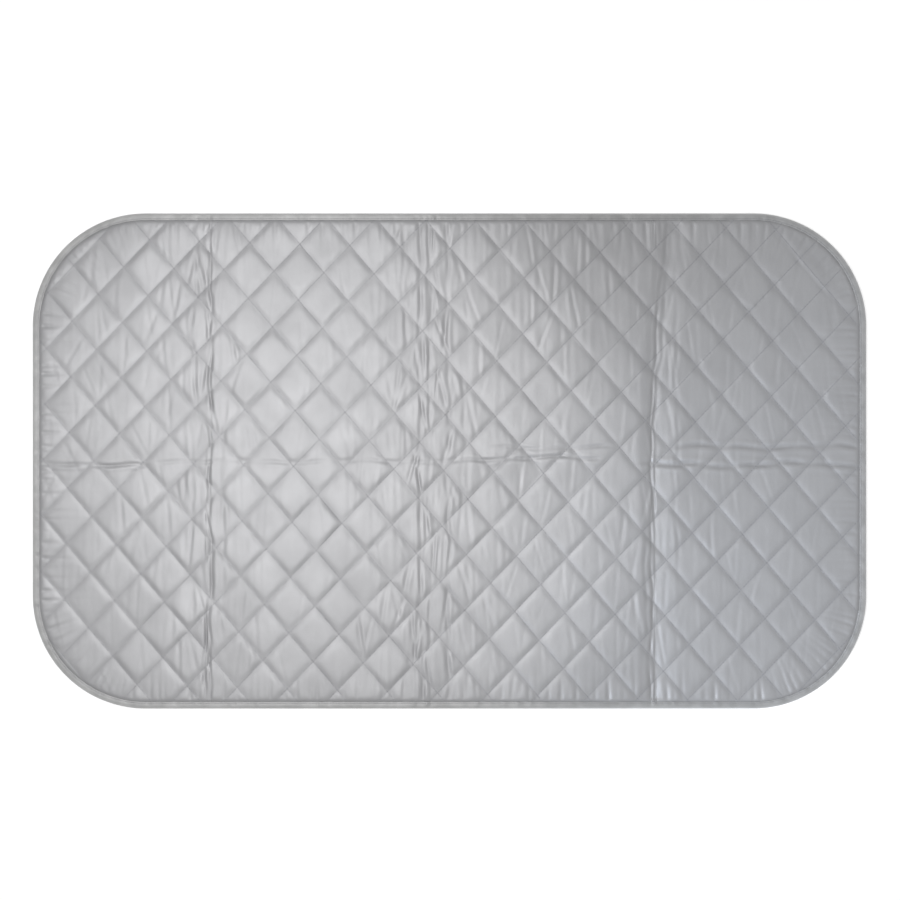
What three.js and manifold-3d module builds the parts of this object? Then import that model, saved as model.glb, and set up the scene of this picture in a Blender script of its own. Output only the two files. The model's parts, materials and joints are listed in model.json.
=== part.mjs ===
// Folding ironing pad: a quilted pad with a silver-coated face, bound round its edge with tape.
// Its three cross creases part every layer into four sections, which fold up over each other.
// Millimetres, +Z up. The pad lies on a table at z = 0, centred on the origin, with its length along X.
import * as THREE from "three";
import { mergeVertices } from "three/addons/utils/BufferGeometryUtils.js";
import Module from "manifold-3d";

// Plan of the pad
const LENGTH = 850;
const WIDTH = 505;
const CORNER_RADIUS = 115;
const CORNER_STEPS = 10;

// Sections from the left end to each cross crease; the fourth section takes the rest of the length
const SECTION_1_LENGTH = 180;
const SECTION_2_LENGTH = 221;
const SECTION_3_LENGTH = 232;
const CREASE_GAP = 0.5;
const CREASE_WIDTH = 10;
const CREASE_DEPTH = 1.8;
const LENGTHWISE_CREASE_DEPTH = 1;
const LENGTHWISE_CREASE_Y = 2;

// Layers, from the table up
const BACKING_CLOTH = 0.5;
const WADDING_AT_EDGE = 0.6;
const FACE_CLOTH = 0.5;
const LAYER_CLEARANCE = 0.2;

// Diamond quilting: two families of stitched channels, each at one pitch, turned a little on the pad
const QUILT_PITCH = 37.4;
const QUILT_HALF_ANGLE = 47.8;
const QUILT_TURN = -1.7;
const QUILT_CROSSING_X = -7.6;
const QUILT_CROSSING_Y = -7.9;
const CHANNEL_RISE = 1.2;
const PUFF_HEIGHT = 1;
const TOP_SHARE = 0.74;

// Binding tape, folded over the rim
const BINDING_WIDTH = 7;
const BINDING_CLOTH = 0.6;
const BINDING_ROUND = 0.5;
const EDGE_SLOPE = 6;
const UNDERSIDE_SLOPE = 4;

// How far the cutting solids run past the pad
const BEYOND = 30;

// Heights that follow from the layers
const rimInset = BINDING_CLOTH + LAYER_CLEARANCE;
const rimBottom = BINDING_CLOTH + LAYER_CLEARANCE;
const rimTop = rimBottom + BACKING_CLOTH + WADDING_AT_EDGE + FACE_CLOTH + 2 * LAYER_CLEARANCE;
const bindingTop = rimTop + LAYER_CLEARANCE + BINDING_CLOTH;
const shelfInset = BINDING_WIDTH + LAYER_CLEARANCE;
const channelTop = rimTop + CHANNEL_RISE;
const crownTop = channelTop + PUFF_HEIGHT;

// Cross creases, from left to right
const leftCrease = SECTION_1_LENGTH - LENGTH / 2;
const middleCrease = leftCrease + SECTION_2_LENGTH;
const rightCrease = middleCrease + SECTION_3_LENGTH;
const creases = [leftCrease, middleCrease, rightCrease];

const wasm = await Module();
wasm.setup();

// A closed geometry as a solid that can be joined and cut
function solidOf(geometry) {
  const bare = geometry.clone();
  bare.deleteAttribute("normal");
  bare.deleteAttribute("uv");
  const merged = mergeVertices(bare);
  const vertProperties = merged.attributes.position.array;
  const triVerts = new Uint32Array(merged.index.array);
  return new wasm.Manifold(new wasm.Mesh({ numProp: 3, vertProperties, triVerts }));
}

// A solid as a geometry for a mesh
function geometryOf(solid) {
  const { vertProperties, triVerts } = solid.getMesh();
  const geometry = new THREE.BufferGeometry();
  geometry.setAttribute("position", new THREE.BufferAttribute(vertProperties, 3));
  geometry.setIndex(new THREE.BufferAttribute(triVerts, 1));
  const faceted = geometry.toNonIndexed();
  faceted.computeVertexNormals();
  return faceted;
}

// The pad's round-cornered outline, drawn in by an inset
function outline(inset) {
  const x = LENGTH / 2 - CORNER_RADIUS;
  const y = WIDTH / 2 - CORNER_RADIUS;
  const radius = CORNER_RADIUS - inset;
  const quarter = Math.PI / 2;
  const path = new THREE.Path();
  [[x, -y], [x, y], [-x, y], [-x, -y]].forEach(([centreX, centreY], turn) => {
    path.absarc(centreX, centreY, radius, (turn - 1) * quarter, turn * quarter);
  });
  return path.getPoints(CORNER_STEPS / 2);
}

// A loft through outlines given as [inset, height], with flat ends or closed on itself
function loft(profile, { closed = false } = {}) {
  const rings = profile.map(([inset, z]) =>
    outline(inset).map((point) => new THREE.Vector3(point.x, point.y, z)),
  );
  const corners = [];
  rings.forEach((lower, level) => {
    if (!closed && level === rings.length - 1) return;
    const upper = rings[(level + 1) % rings.length];
    lower.forEach((point, i) => {
      const next = (i + 1) % lower.length;
      corners.push(point, lower[next], upper[next], point, upper[next], upper[i]);
    });
  });
  if (!closed) {
    const bottom = rings[0];
    const top = rings[rings.length - 1];
    THREE.ShapeUtils.triangulateShape(outline(0), []).forEach(([a, b, c]) => {
      corners.push(bottom[c], bottom[b], bottom[a], top[a], top[b], top[c]);
    });
  }
  return solidOf(new THREE.BufferGeometry().setFromPoints(corners));
}

// Everything under the quilted surface when that surface is lowered by a drop.
// A filled diamond climbs over a shoulder to its flat top; the hollow below the face is a plain pyramid.
function quiltedMass(drop, filled) {
  const radians = THREE.MathUtils.degToRad;
  const side = QUILT_PITCH / Math.sin(radians(2 * QUILT_HALF_ANGLE));
  const origin = new THREE.Vector2();
  const crossing = new THREE.Vector2(QUILT_CROSSING_X, QUILT_CROSSING_Y);
  const falling = new THREE.Vector2(side, 0).rotateAround(origin, radians(QUILT_TURN - QUILT_HALF_ANGLE));
  const rising = new THREE.Vector2(side, 0).rotateAround(origin, radians(QUILT_TURN + QUILT_HALF_ANGLE));
  const at = (i, j, z) => {
    const point = crossing.clone().addScaledVector(falling, i).addScaledVector(rising, j);
    return new THREE.Vector3(point.x, point.y, z);
  };
  const inReach = (i, j) => {
    const centre = at(i + 0.5, j + 0.5, 0);
    return Math.abs(centre.x) < LENGTH / 2 + side && Math.abs(centre.y) < WIDTH / 2 + side;
  };
  const stitched = channelTop - drop;
  const crown = crownTop - drop;
  const cornerSteps = [[0, 0], [1, 0], [1, 1], [0, 1]];
  const neighbours = [[0, -1], [1, 0], [0, 1], [-1, 0]];
  const span = Math.ceil((LENGTH + WIDTH) / side);
  const corners = [];
  for (let i = -span; i < span; i++) {
    for (let j = -span; j < span; j++) {
      if (!inReach(i, j)) continue;
      const ring = (share, z) =>
        cornerSteps.map(([a, b]) => at(i + 0.5 + (a - 0.5) * share, j + 0.5 + (b - 0.5) * share, z));
      const outer = ring(1, stitched);
      const inner = ring(filled ? TOP_SHARE : 0, crown);
      const floor = ring(1, -BEYOND);
      for (let k = 0; k < 4; k++) {
        const next = (k + 1) % 4;
        const [stepI, stepJ] = neighbours[k];
        corners.push(outer[k], outer[next], inner[next]);
        if (filled) corners.push(outer[k], inner[next], inner[k]);
        if (!inReach(i + stepI, j + stepJ)) {
          corners.push(floor[k], floor[next], outer[next], floor[k], outer[next], outer[k]);
        }
      }
      if (filled) corners.push(inner[0], inner[1], inner[2], inner[0], inner[2], inner[3]);
      corners.push(floor[2], floor[1], floor[0], floor[3], floor[2], floor[0]);
    }
  }
  return solidOf(new THREE.BufferGeometry().setFromPoints(corners));
}

// The wedge that a pressed fold leaves open above the face, along Y through the origin
function creaseWedge(depth, drop) {
  const lift = crownTop + BEYOND;
  const spread = (CREASE_WIDTH / 2) * ((depth + BEYOND) / CREASE_DEPTH);
  const section = new THREE.Shape();
  section.moveTo(0, crownTop - depth - drop);
  section.lineTo(spread, lift - drop);
  section.lineTo(-spread, lift - drop);
  const length = LENGTH + 2 * BEYOND;
  const wedge = new THREE.ExtrudeGeometry(section, { depth: length, bevelEnabled: false });
  return wedge.translate(0, 0, -length / 2).rotateX(Math.PI / 2);
}

// The pad below its face, lowered by a drop: quilted, drawn in at the rim and creased
function massUnder(drop, { filled = true, outset = 0 } = {}) {
  const drawnIn = loft([
    [rimInset - outset, -BEYOND],
    [rimInset - outset, rimTop - drop],
    [shelfInset, rimTop - drop],
    [shelfInset + EDGE_SLOPE, crownTop - drop],
    [shelfInset + EDGE_SLOPE, crownTop + BEYOND],
  ]);
  const crossed = creases.reduce(
    (mass, x) => mass.subtract(solidOf(creaseWedge(CREASE_DEPTH, drop).translate(x, 0, 0))),
    quiltedMass(drop, filled).intersect(drawnIn),
  );
  const lengthwise = creaseWedge(LENGTHWISE_CREASE_DEPTH, drop).rotateZ(Math.PI / 2);
  return crossed.subtract(solidOf(lengthwise.translate(0, LENGTHWISE_CREASE_Y, 0)));
}

// The pad above its underside, raised by a lift: flat on the table and stepped up at the rim
function massOver(lift, { outset = 0 } = {}) {
  return loft([
    [shelfInset + UNDERSIDE_SLOPE, lift],
    [shelfInset, rimBottom + lift],
    [rimInset - outset, rimBottom + lift],
    [rimInset - outset, crownTop + BEYOND],
  ]);
}

// The tape folded round the rim, open towards the pad
function bindingRing() {
  return loft(
    [
      [BINDING_ROUND, 0],
      [0, BINDING_ROUND],
      [0, bindingTop - BINDING_ROUND],
      [BINDING_ROUND, bindingTop],
      [BINDING_WIDTH, bindingTop],
      [BINDING_WIDTH, bindingTop - BINDING_CLOTH],
      [BINDING_CLOTH, bindingTop - BINDING_CLOTH],
      [BINDING_CLOTH, BINDING_CLOTH],
      [BINDING_WIDTH, BINDING_CLOTH],
      [BINDING_WIDTH, 0],
    ],
    { closed: true },
  );
}

// A block that keeps only what lies between two cross creases, and between two limits of Y
function sectionBlock(number, yLow = -WIDTH / 2 - BEYOND, yHigh = WIDTH / 2 + BEYOND) {
  const low = number === 1 ? -LENGTH / 2 - BEYOND : creases[number - 2] + CREASE_GAP / 2;
  const high = number === 4 ? LENGTH / 2 + BEYOND : creases[number - 1] - CREASE_GAP / 2;
  const block = new THREE.BoxGeometry(high - low, yHigh - yLow, 4 * BEYOND);
  return solidOf(block.translate((low + high) / 2, (yLow + yHigh) / 2, 0));
}

const materials = {
  silverCloth: new THREE.MeshStandardMaterial({ color: 0xb4b4b7, roughness: 0.5, metalness: 0.6 }),
  wadding: new THREE.MeshStandardMaterial({ color: 0xf1efe9, roughness: 1, metalness: 0 }),
  backingCloth: new THREE.MeshStandardMaterial({ color: 0xe3ddd0, roughness: 0.9, metalness: 0 }),
  bindingTape: new THREE.MeshStandardMaterial({ color: 0xb2b2b6, roughness: 0.6, metalness: 0.4 }),
};

const pad = new THREE.Group();

function addPiece(name, solid, material) {
  const mesh = new THREE.Mesh(geometryOf(solid), material);
  mesh.name = name;
  pad.add(mesh);
}

const fill = LAYER_CLEARANCE;
const faceSheet = massUnder(0).subtract(massUnder(FACE_CLOTH, { filled: false, outset: fill }));
const backingSheet = massOver(0).subtract(massOver(BACKING_CLOTH, { outset: fill }));
const wadding = massUnder(FACE_CLOTH + fill, { filled: false }).intersect(massOver(BACKING_CLOTH + fill));
const binding = bindingRing();

for (const number of [1, 2, 3, 4]) {
  const block = sectionBlock(number);
  addPiece(`backing_cloth_${number}`, backingSheet.intersect(block), materials.backingCloth);
  addPiece(`wadding_${number}`, wadding.intersect(block), materials.wadding);
  addPiece(`face_cloth_${number}`, faceSheet.intersect(block), materials.silverCloth);
  if (number === 1 || number === 4) {
    addPiece(`end_binding_${number}`, binding.intersect(block), materials.bindingTape);
  } else {
    const front = sectionBlock(number, -WIDTH / 2 - BEYOND, 0);
    const back = sectionBlock(number, 0, WIDTH / 2 + BEYOND);
    addPiece(`front_binding_${number}`, binding.intersect(front), materials.bindingTape);
    addPiece(`back_binding_${number}`, binding.intersect(back), materials.bindingTape);
  }
}

export default pad;
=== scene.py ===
"""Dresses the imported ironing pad: quilted cloth, bound edge, stitching, and the studio round it.

Metres, in the frame's own axes. The pad lies face up on a table at z = 0, with its length along X.
"""
import json
import logging
import math
from dataclasses import dataclass
from enum import Enum
from functools import partial
from typing import Any, Callable, Optional, Sequence

import bmesh
import bpy
import numpy as np
from bmesh.types import BMesh, BMVert
from bpy.types import Curve, Material, Mesh, Node, NodeSocket, NodeTree, Object
from mathutils import Matrix, Vector
from mathutils.bvhtree import BVHTree


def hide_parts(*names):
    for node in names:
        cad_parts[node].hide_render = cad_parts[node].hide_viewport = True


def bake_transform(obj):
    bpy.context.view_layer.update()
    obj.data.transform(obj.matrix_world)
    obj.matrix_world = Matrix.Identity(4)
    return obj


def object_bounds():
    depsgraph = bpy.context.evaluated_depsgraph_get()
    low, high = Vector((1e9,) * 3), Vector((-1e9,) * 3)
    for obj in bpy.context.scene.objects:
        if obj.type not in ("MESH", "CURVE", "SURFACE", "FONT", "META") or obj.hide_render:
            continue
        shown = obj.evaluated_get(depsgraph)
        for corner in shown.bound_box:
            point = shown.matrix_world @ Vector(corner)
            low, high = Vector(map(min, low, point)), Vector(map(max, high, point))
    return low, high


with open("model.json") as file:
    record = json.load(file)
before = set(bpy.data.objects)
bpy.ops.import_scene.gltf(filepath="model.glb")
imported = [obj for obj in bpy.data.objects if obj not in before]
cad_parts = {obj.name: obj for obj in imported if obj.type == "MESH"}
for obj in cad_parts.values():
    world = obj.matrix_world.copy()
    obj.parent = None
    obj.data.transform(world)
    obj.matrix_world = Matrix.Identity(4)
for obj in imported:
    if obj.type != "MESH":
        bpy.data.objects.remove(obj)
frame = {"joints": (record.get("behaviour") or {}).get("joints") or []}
CAD_BOX = [list(corner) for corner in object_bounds()]

MM = 0.001
CORNER_RADIUS = 115 * MM
TAPE_REACH = 7 * MM  # how far in from the edge the tape comes
LAYER_INSET = 2.5 * MM  # where the layers end inside the tape
SHARP_ANGLE = math.radians(50)  # edges that turn further are shaded sharp
CLOTH_MAP = "cloth"
# The face's share of full loft, which also sets where its shade is painted in
PUFF_SHARE = "puff"
WAVE_PERIOD = math.pi / 10  # of Blender's Wave Texture at a scale of 1

log = logging.getLogger("ironing_pad")


class Stretch(Enum):
    """The three stretches of the pad, each of which bends round one cross crease."""

    LEFT = ("left", (1,))
    MIDDLE = ("middle", (2, 3))
    RIGHT = ("right", (4,))

    def __init__(self, label: str, sections: tuple[int, ...]) -> None:
        """Keep the stretch's name and the numbers of the CAD sections that it stands for."""
        self.label = label
        self.sections = sections

    def nodes(self, *layers: str) -> list[str]:
        """The CAD nodes of some layers in this stretch."""
        return [f"{layer}_{number}" for layer in layers for number in self.sections]


class Run(Enum):
    """The four runs of binding tape, each with the stretch that it bends with."""

    LEFT = ("left", Stretch.LEFT, "end_binding")
    FRONT = ("front", Stretch.MIDDLE, "front_binding")
    RIGHT = ("right", Stretch.RIGHT, "end_binding")
    BACK = ("back", Stretch.MIDDLE, "back_binding")

    def __init__(self, label: str, stretch: Stretch, layer: str) -> None:
        """Keep the run's name, its stretch and what its CAD nodes are called."""
        self.label = label
        self.stretch = stretch
        self.layer = layer


def linear(hex_colour: str) -> tuple[float, float, float, float]:
    """Turn an sRGB hex colour into linear RGBA.

    Args:
        hex_colour: The colour as "#RRGGBB".

    Returns:
        Red, green, blue and an alpha of 1.
    """
    parts = [int(hex_colour[i:i + 2], 16) / 255 for i in (1, 3, 5)]
    bright = [c / 12.92 if c <= 0.04045 else ((c + 0.055) / 1.055) ** 2.4 for c in parts]
    return (bright[0], bright[1], bright[2], 1.0)


def feed(node: Node, inputs: dict[Any, Any]) -> None:
    """Set a node's inputs, each to a value or from the socket that feeds it."""
    for name, value in inputs.items():
        if isinstance(value, NodeSocket):
            node.id_data.links.new(value, node.inputs[name])
        else:
            node.inputs[name].default_value = value


def add_node(
    tree: NodeTree, kind: str, inputs: Optional[dict[Any, Any]] = None, out: Any = 0, **settings: Any
) -> NodeSocket:
    """Add a node with its settings, values and links.

    Args:
        tree: The node tree that gets the node.
        kind: The node's type, such as "Bump" for ShaderNodeBump.
        inputs: For each input, by name or number, a value or the socket that feeds it.
        out: The output that is wanted, by name or number.
        **settings: The node's own properties.

    Returns:
        That output.
    """
    made = tree.nodes.new(f"ShaderNode{kind}")
    for name, value in settings.items():
        setattr(made, name, value)
    feed(made, inputs or {})
    return made.outputs[out]


def new_material(name: str) -> tuple[Material, NodeTree, Node]:
    """Start a material.

    Args:
        name: The material's name.

    Returns:
        The material, its node tree and its shader.
    """
    made = bpy.data.materials.new(name)
    made.use_nodes = True
    return made, made.node_tree, made.node_tree.nodes["Principled BSDF"]


def plain_weave(tree: NodeTree, cloth: NodeSocket, spacing: float) -> NodeSocket:
    """Draw the over and under of a plain weave as a height.

    Args:
        tree: The material's node tree.
        cloth: Places on the flat cloth, in metres.
        spacing: The distance between threads.

    Returns:
        A height from 0 to 1.
    """
    bands = {"Vector": cloth, "Scale": WAVE_PERIOD / spacing}
    warp = add_node(tree, "TexWave", bands, "Fac", bands_direction="X")
    weft = add_node(tree, "TexWave", bands, "Fac", bands_direction="Y")
    return add_node(tree, "Math", {0: warp, 1: weft}, operation="MULTIPLY")


def smooth_step(low: float, high: float, value: np.ndarray) -> np.ndarray:
    """Rise smoothly from 0 at low to 1 at high."""
    share = np.clip((value - low) / (high - low), 0, 1)
    return share * share * (3 - 2 * share)


def bell(value: np.ndarray) -> np.ndarray:
    """Fall from 1 at 0 towards 0 on both sides."""
    return np.exp(-value * value)


def points_of(mesh: Mesh) -> np.ndarray:
    """Read a mesh's points as rows of x, y and z."""
    flat = np.empty(3 * len(mesh.vertices), np.float32)
    mesh.vertices.foreach_get("co", flat)
    return flat.reshape(-1, 3).astype(float)


def place_points(mesh: Mesh, points: np.ndarray) -> None:
    """Write rows of x, y and z to a mesh's points."""
    mesh.vertices.foreach_set("co", points.astype(np.float32).ravel())
    mesh.update()


def map_cloth(mesh: Mesh, flat: np.ndarray) -> None:
    """Give a mesh the place of each point on the flat cloth, so that the weave follows the cloth.

    Args:
        mesh: The mesh that gets the map.
        flat: One row of two lengths, in metres, for each point.
    """
    corner_points = np.empty(len(mesh.loops), np.int32)
    mesh.loops.foreach_get("vertex_index", corner_points)
    layer = mesh.uv_layers.new(name=CLOTH_MAP)
    layer.data.foreach_set("uv", flat[corner_points].astype(np.float32).ravel())


def bmesh_of(*meshes: Mesh) -> BMesh:
    """Copy meshes into one bmesh."""
    bm = bmesh.new()
    for mesh in meshes:
        bm.from_mesh(mesh)
    return bm


def mesh_from(name: str, bm: BMesh) -> Mesh:
    """Turn a bmesh into a mesh and free it."""
    mesh = bpy.data.meshes.new(name)
    bm.to_mesh(mesh)
    bm.free()
    return mesh


def surface_of(*meshes: Mesh) -> BVHTree:
    """Make a surface that a needle can find from meshes."""
    bm = bmesh_of(*meshes)
    surface = BVHTree.FromBMesh(bm)
    bm.free()
    return surface


def part_of(mesh: Mesh, keep: np.ndarray) -> BMesh:
    """Copy some of a mesh's faces into a bmesh.

    Args:
        mesh: The mesh to copy from.
        keep: Whether each face is kept.

    Returns:
        The kept faces.
    """
    bm = bmesh_of(mesh)
    unwanted = [face for face, kept in zip(bm.faces[:], keep) if not kept]
    bmesh.ops.delete(bm, geom=unwanted, context="FACES")
    return bm


def shade_bends(bm: BMesh) -> None:
    """Mark the edges at which the shading breaks."""
    for edge in bm.edges:
        edge.smooth = edge.calc_face_angle(0.0) < SHARP_ANGLE


def new_piece(name: str, mesh: Mesh, material: Material) -> Object:
    """Put a finished mesh in the scene as a smooth-shaded piece.

    Args:
        name: The piece's name.
        mesh: Its mesh, already in place.
        material: Its only material.

    Returns:
        The piece's object, at the origin.
    """
    mesh.polygons.foreach_set("use_smooth", [True] * len(mesh.polygons))
    mesh.materials.clear()
    mesh.materials.append(material)
    piece = bpy.data.objects.new(name, mesh)
    bpy.context.scene.collection.objects.link(piece)
    log.info("%s: %d faces", name, len(mesh.polygons))
    return piece


def close_sheet(bm: BMesh, far_side: Callable[[np.ndarray, np.ndarray], np.ndarray]) -> None:
    """Give a sheet its other side and close the rim between the two.

    Args:
        bm: The sheet, which becomes a closed body.
        far_side: Heights of the other side at given x and y.
    """
    whole = bm.verts[:] + bm.edges[:] + bm.faces[:]
    grown = bmesh.ops.extrude_face_region(bm, geom=whole, use_keep_orig=True)["geom"]
    far_points = [item for item in grown if isinstance(item, BMVert)]
    plan = np.array([vert.co[:2] for vert in far_points])
    for vert, height in zip(far_points, far_side(*plan.T)):
        vert.co.z = height
    bmesh.ops.recalc_face_normals(bm, faces=bm.faces[:])
    shade_bends(bm)


@dataclass(frozen=True)
class AluminisedCotton:
    """Woven cotton with an aluminium coating: satin silver, with shade painted darker along the stitched
    lines and the pressed creases.

    The real thread spacing of about 0.4 mm is too fine to show, so the weave is drawn coarser.
    """

    name: str = "aluminised_cotton"
    crown: str = "#BDBDBF"
    cloudy: str = "#B8B8BA"
    # Painted shade: the darker colour laid along the stitched lines and the pressed creases
    painted_channel_shade: str = "#B3B3B5"
    metallic: float = 0.55
    roughness: tuple[float, float] = (0.45, 0.55)
    thread_spacing: float = 1.2 * MM
    weave_depth: float = 0.02 * MM
    cloud_size: float = 40 * MM
    crumple_size: float = 9 * MM
    crumple_depth: float = 0.19 * MM
    crumple_stretch: tuple[float, float, float] = (1.0, 0.5, 1.0)

    def material(self) -> Material:
        """Make the material: bright crowns, painted shade in the channels and creases, a fine weave and a
        slight crumple.
        """
        made, tree, shader = new_material(self.name)
        cloth = add_node(tree, "UVMap", uv_map=CLOTH_MAP)
        clouds = add_node(tree, "TexNoise", {"Vector": cloth, "Scale": 1 / self.cloud_size, "Detail": 4.0})
        dulled = add_node(tree, "MapRange", {"Value": clouds, "From Min": 0.38, "From Max": 0.66})
        coats = {0: dulled, 6: linear(self.crown), 7: linear(self.cloudy)}
        coat = add_node(tree, "Mix", coats, 2, data_type="RGBA")
        # Painted shade: the channel colour comes in where the puff share is low, at the stitching and the
        # creases
        puff = add_node(tree, "Attribute", out="Fac", attribute_name=PUFF_SHARE)
        risen = add_node(tree, "MapRange", {"Value": puff, "From Min": 0.15, "From Max": 0.9})
        colour = add_node(tree, "Mix", {0: risen, 6: linear(self.painted_channel_shade), 7: coat}, 2, data_type="RGBA")
        low, high = self.roughness
        rough = add_node(tree, "MapRange", {"Value": clouds, "To Min": low, "To Max": high})
        drawn = add_node(tree, "Mapping", {"Vector": cloth, "Scale": self.crumple_stretch})
        crumple = add_node(tree, "TexNoise", {"Vector": drawn, "Scale": 1 / self.crumple_size, "Detail": 3.0})
        creased = add_node(tree, "Bump", {"Height": crumple, "Distance": self.crumple_depth})
        weave = plain_weave(tree, cloth, self.thread_spacing)
        woven = add_node(tree, "Bump", {"Height": weave, "Distance": self.weave_depth, "Normal": creased})
        feed(shader, {"Base Color": colour, "Metallic": self.metallic, "Roughness": rough, "Normal": woven})
        return made


@dataclass(frozen=True)
class UnbleachedCotton:
    """Plain-woven unbleached cotton: matt, warm off-white, with thicker threads here and there."""

    name: str = "unbleached_cotton"
    light: str = "#E3DDD0"
    dark: str = "#D3CCBC"
    roughness: float = 0.92
    sheen: float = 0.15
    thread_spacing: float = 1.1 * MM
    weave_depth: float = 0.1 * MM
    slub_length: float = 22 * MM

    def material(self) -> Material:
        """Make the material: a plain weave with slubs along both threads."""
        made, tree, shader = new_material(self.name)
        cloth = add_node(tree, "UVMap", uv_map=CLOTH_MAP)
        narrow = self.slub_length / self.thread_spacing
        drawn = add_node(tree, "Mapping", {"Vector": cloth, "Scale": (1.0, narrow, 1.0)})
        slubs = add_node(tree, "TexNoise", {"Vector": drawn, "Scale": 1 / self.slub_length, "Detail": 2.0})
        shade = add_node(tree, "MapRange", {"Value": slubs, "From Min": 0.35, "From Max": 0.7})
        threads = {0: shade, 6: linear(self.light), 7: linear(self.dark)}
        colour = add_node(tree, "Mix", threads, 2, data_type="RGBA")
        weave = plain_weave(tree, cloth, self.thread_spacing)
        woven = add_node(tree, "Bump", {"Height": weave, "Distance": self.weave_depth})
        feed(shader, {"Roughness": self.roughness, "Sheen Weight": self.sheen})
        feed(shader, {"Base Color": colour, "Normal": woven})
        return made


@dataclass(frozen=True)
class CoatedTwillTape:
    """Twill tape with the face's silver coating: slanting ribs, a little duller than the face."""

    name: str = "coated_twill_tape"
    light: str = "#BDBDBD"
    dark: str = "#ABABAB"
    fold_pale: str = "#DEDEDE"
    metallic: float = 0.4
    roughness: float = 0.5
    rib_spacing: float = 1.4 * MM
    rib_depth: float = 0.04 * MM
    cloud_size: float = 14 * MM
    fold_line: float = 8.1 * MM
    paling_reach: float = 3.5 * MM

    def material(self) -> Material:
        """Make the material: slanting twill ribs over a coat that is paler along the fold."""
        made, tree, shader = new_material(self.name)
        cloth = add_node(tree, "UVMap", uv_map=CLOTH_MAP)
        clouds = add_node(tree, "TexNoise", {"Vector": cloth, "Scale": 1 / self.cloud_size, "Detail": 3.0})
        rubbed = add_node(tree, "MapRange", {"Value": clouds, "From Min": 0.35, "From Max": 0.68})
        coats = {0: rubbed, 6: linear(self.dark), 7: linear(self.light)}
        coat = add_node(tree, "Mix", coats, 2, data_type="RGBA")
        # The coat turns paler towards the tape's fold line
        across = add_node(tree, "SeparateXYZ", {0: cloth}, "Y")
        off_fold = add_node(tree, "Math", {0: across, 1: self.fold_line}, operation="SUBTRACT")
        distance = add_node(tree, "Math", {0: off_fold}, operation="ABSOLUTE")
        fading = {"From Min": 0.0, "From Max": self.paling_reach, "To Min": 1.0, "To Max": 0.0}
        fold_paling = add_node(tree, "MapRange", {"Value": distance, **fading})
        colour = add_node(tree, "Mix", {0: fold_paling, 6: coat, 7: linear(self.fold_pale)}, 2, data_type="RGBA")
        bands = {"Vector": cloth, "Scale": WAVE_PERIOD / self.rib_spacing}
        ribs = add_node(tree, "TexWave", bands, "Fac", bands_direction="DIAGONAL")
        ribbed = add_node(tree, "Bump", {"Height": ribs, "Distance": self.rib_depth})
        feed(shader, {"Metallic": self.metallic, "Roughness": self.roughness})
        feed(shader, {"Base Color": colour, "Normal": ribbed})
        return made


@dataclass(frozen=True)
class PolyesterThread:
    """Twisted grey polyester sewing thread: a soft sheen, light and dark along its twist."""

    name: str = "polyester_thread"
    light: str = "#B4B4B8"
    dark: str = "#96969B"
    roughness: float = 0.55
    twist_spacing: float = 0.8 * MM

    def material(self) -> Material:
        """Make the material: slanting bands for the twisted plies."""
        made, tree, shader = new_material(self.name)
        place = add_node(tree, "TexCoord", out="Object")
        bands = {"Vector": place, "Scale": WAVE_PERIOD / self.twist_spacing}
        plies = add_node(tree, "TexWave", bands, "Fac", bands_direction="DIAGONAL")
        shades = {0: plies, 6: linear(self.dark), 7: linear(self.light)}
        colour = add_node(tree, "Mix", shades, 2, data_type="RGBA")
        feed(shader, {"Base Color": colour, "Roughness": self.roughness})
        return made


@dataclass(frozen=True)
class PaleTable:
    """Matt white laminate: it takes the pad's shadow and is lifted to white for the eye alone."""

    name: str = "pale_table"
    colour: str = "#F4F4F4"
    roughness: float = 0.8
    lift: float = 0.5

    def material(self) -> Material:
        """Make the material: a diffuse white with some light of its own for what looks at it."""
        made, tree, shader = new_material(self.name)
        seen = add_node(tree, "LightPath", out="Is Camera Ray")
        rays = seen.node.outputs
        for kind in ("Is Glossy Ray", "Is Transmission Ray"):
            seen = add_node(tree, "Math", {0: seen, 1: rays[kind]}, operation="MAXIMUM")
        lifted = add_node(tree, "Math", {0: seen, 1: self.lift}, operation="MULTIPLY")
        feed(shader, {"Base Color": linear(self.colour), "Roughness": self.roughness})
        feed(shader, {"Emission Color": linear("#FFFFFF"), "Emission Strength": lifted})
        return made


@dataclass(frozen=True)
class Fold:
    """How a stretch of the pad bends round its cross crease.

    Attributes:
        joint: The joint's name in the frame.
        right_body: The body on the right of the crease; not used.
        left_body: The body on its left; not used.
        reach: How far to each side of the crease the cloth bends.
        cuts: How many lines part a mesh there, enough for a round bend.
    """

    joint: str
    right_body: str
    left_body: str
    reach: float
    cuts: int = 21

    def place(self) -> float:
        """The crease's x in the frame."""
        return next(joint["pos_m"][0] for joint in frame["joints"] if joint["name"] == self.joint)

    def bend(self, piece: Object) -> None:
        """Bake a piece's transform into its mesh."""
        start = (self.place() + self.reach, 0.0, 0.0)
        end = (self.place() - self.reach, 0.0, 0.0)
        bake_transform(piece)

    def lines(self) -> np.ndarray:
        """The x of the lines at which meshes are parted."""
        return self.place() + np.linspace(-self.reach, self.reach, self.cuts)


FOLDS = {
    Stretch.LEFT: Fold("left_crease", "section_2", "section_1", 3.5 * MM),
    Stretch.MIDDLE: Fold("middle_crease", "section_3", "section_2", 12 * MM),
    Stretch.RIGHT: Fold("right_crease", "section_4", "section_3", 3.5 * MM),
}


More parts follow.
